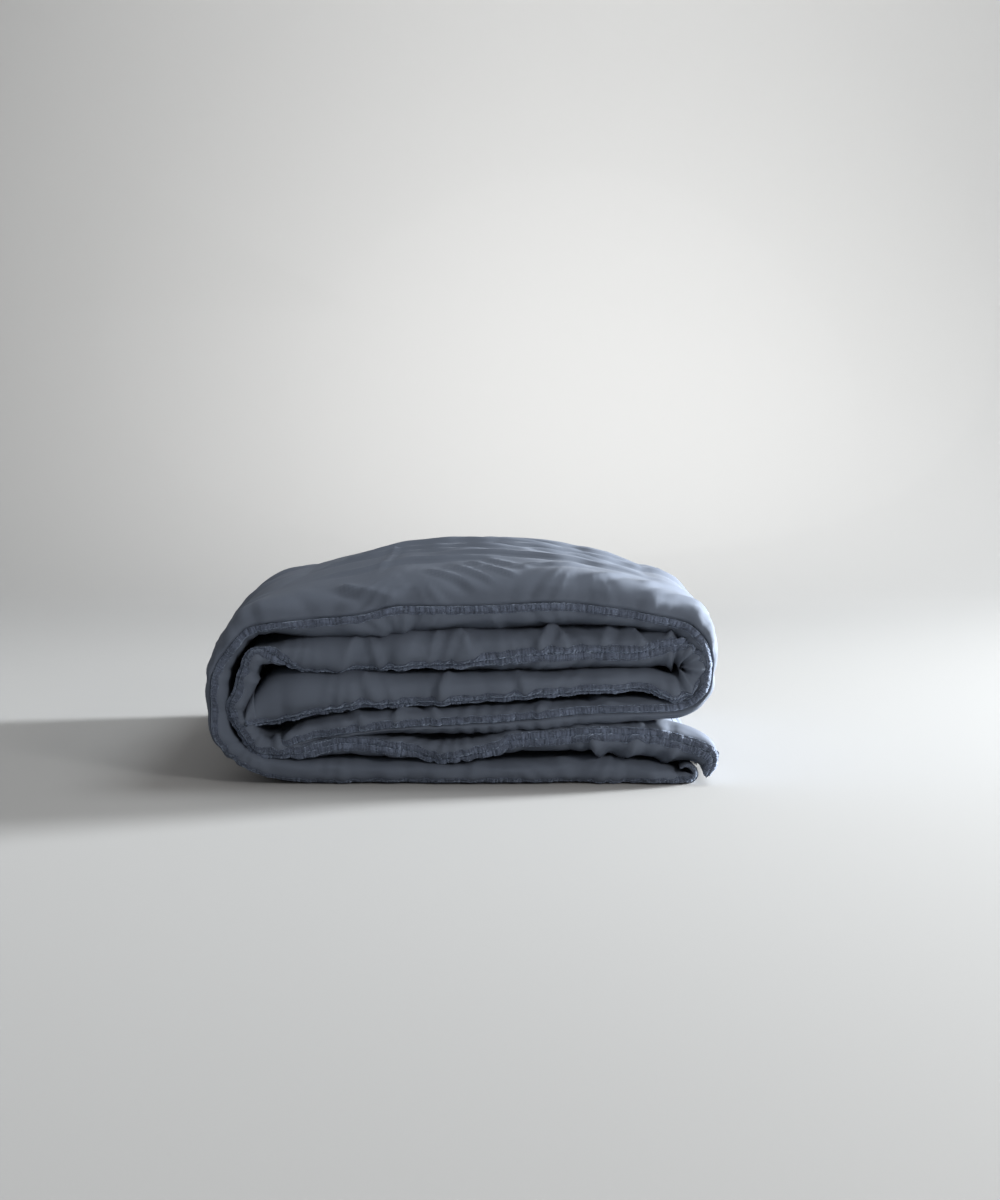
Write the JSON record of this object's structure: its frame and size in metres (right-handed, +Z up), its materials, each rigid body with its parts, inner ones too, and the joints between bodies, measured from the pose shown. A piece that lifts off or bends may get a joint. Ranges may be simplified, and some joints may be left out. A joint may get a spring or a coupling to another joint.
{
  "type": "folded duvet",
  "caption": "Filled duvet in a washed cotton cover, folded in half and then in three, lying flat on its bottom layer.",
  "frame": {"origin": "middle of the rectangle that the folded duvet rests on, at floor height", "axes": "+X to the right and +Z up as seen from the hemmed side, +Y away from the hemmed side to the half fold"},
  "size_m": [0.6199, 0.7, 0.2812],
  "materials": {
    "cover_cotton": "matte washed percale",
    "insert_ticking": "smooth downproof cotton",
    "filling": "matte down and feather",
    "shell_button": "polished"
  },
  "bodies": {
    "root": {"button_a1": "shell_button", "button_a2": "shell_button", "button_a3": "shell_button", "button_b1": "shell_button", "button_b2": "shell_button", "button_b3": "shell_button", "cover_inner_panel": "cover_cotton", "cover_outer_panel": "cover_cotton", "fill_row1_box1": "filling", "fill_row1_box2": "filling", "fill_row1_box3": "filling", "fill_row1_box4": "filling", "fill_row2_box1": "filling", "fill_row2_box2": "filling", "fill_row2_box3": "filling", "fill_row2_box4": "filling", "fill_row3_box1": "filling", "fill_row3_box2": "filling", "fill_row3_box3": "filling", "fill_row3_box4": "filling", "fill_row4_box1": "filling", "fill_row4_box2": "filling", "fill_row4_box3": "filling", "fill_row4_box4": "filling", "fill_row5_box1": "filling", "fill_row5_box2": "filling", "fill_row5_box3": "filling", "fill_row5_box4": "filling", "fill_row6_box1": "filling", "fill_row6_box2": "filling", "fill_row6_box3": "filling", "fill_row6_box4": "filling", "foot_facing_inner": "cover_cotton", "foot_facing_outer": "cover_cotton", "head_seam": "cover_cotton", "piping_foot": "insert_ticking", "piping_head": "insert_ticking", "piping_leaf_a": "insert_ticking", "piping_leaf_b": "insert_ticking", "side_hem_leaf_a": "cover_cotton", "side_hem_leaf_b": "cover_cotton", "ticking_inner": "insert_ticking", "ticking_outer": "insert_ticking", "tie_foot_a": "insert_ticking", "tie_foot_b": "insert_ticking", "tie_head_a": "insert_ticking", "tie_head_b": "insert_ticking"}
  },
  "joints": []
}
